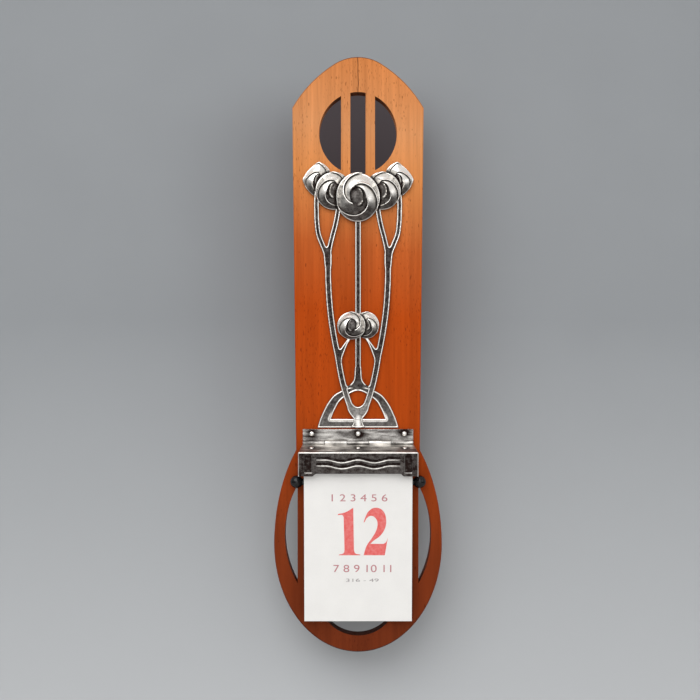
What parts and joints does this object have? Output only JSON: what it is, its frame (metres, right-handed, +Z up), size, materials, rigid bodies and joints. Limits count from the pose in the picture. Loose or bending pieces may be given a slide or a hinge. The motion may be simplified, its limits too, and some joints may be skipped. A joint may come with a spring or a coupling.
{
  "type": "wall calendar",
  "caption": "Tall tapered wooden wall calendar with a fretted head, oval foot and silver rose ornament; a hinged hood shields a tear-off pad hung on a ball-ended rod.",
  "frame": {"origin": "centre of the hook hole in the hanger plate, in the plane of the panel's back face", "axes": "+Z up the panel, +X to the right seen from the front, +Y out of the back towards the wall"},
  "size_m": [0.1042, 0.027, 0.3696],
  "materials": {
    "mahogany": "French-polished mahogany, upright grain",
    "silver": "silver, polished on the lips and oxidised dark in the hollows",
    "brass": "plain drawn brass",
    "steel": "plain steel wire and strip",
    "black_enamel": "gloss black enamel",
    "paper": "uncoated white paper with plain red numerals",
    "card": "grey pressed board",
    "tinplate": "thin tinplate"
  },
  "bodies": {
    "frame": {"back_panel": "mahogany", "hanger_plate": "brass", "hanger_screws": "brass", "base_arch": "silver", "stem_left": "silver", "stem_right": "silver", "stem_centre": "silver", "rose_centre": "silver", "rose_inner_left": "silver", "rose_inner_right": "silver", "rose_outer_left": "silver", "rose_outer_right": "silver", "rose_low_left": "silver", "rose_low_right": "silver", "ornament_pins": "brass", "hinge_strip": "silver", "strip_nails": "silver", "hinge_pin": "steel", "rod_eye_left": "brass", "rod_eye_right": "brass"},
    "hood": {"hood_cover": "silver", "hood_front": "silver", "hood_cheek_left": "silver", "hood_cheek_right": "silver", "cover_rivets": "silver", "pad_spring": "steel"},
    "rod": {"pad_rod": "steel", "rod_ball_left": "black_enamel", "rod_ball_right": "black_enamel"},
    "pad": {"pad_card": "card", "pad_block": "paper", "pad_clip": "tinplate", "pad_brads": "brass", "pad_sleeve": "tinplate"},
    "leaf": {"top_leaf": "paper"}
  },
  "joints": [
    {"name": "hood_lift", "type": "hinge", "parent": "frame", "child": "hood", "pos_m": [0, -0.0107, -0.2285], "axis": [-1, 0, 0], "range_deg": [0, 90]},
    {"name": "pad_swing", "type": "hinge", "parent": "frame", "child": "pad", "pos_m": [0, -0.01345, -0.25226], "axis": [-1, 0, 0], "range_deg": [0, 15]},
    {"name": "rod_turn", "type": "hinge", "parent": "frame", "child": "rod", "pos_m": [0, -0.01345, -0.25226], "axis": [1, 0, 0], "continuous": true},
    {"name": "leaf_lift", "type": "hinge", "parent": "pad", "child": "leaf", "pos_m": [0, -0.02173, -0.25095], "axis": [-1, 0, 0], "range_deg": [0, 75], "stiffness_Nm_per_rad": 0.004}
  ]
}
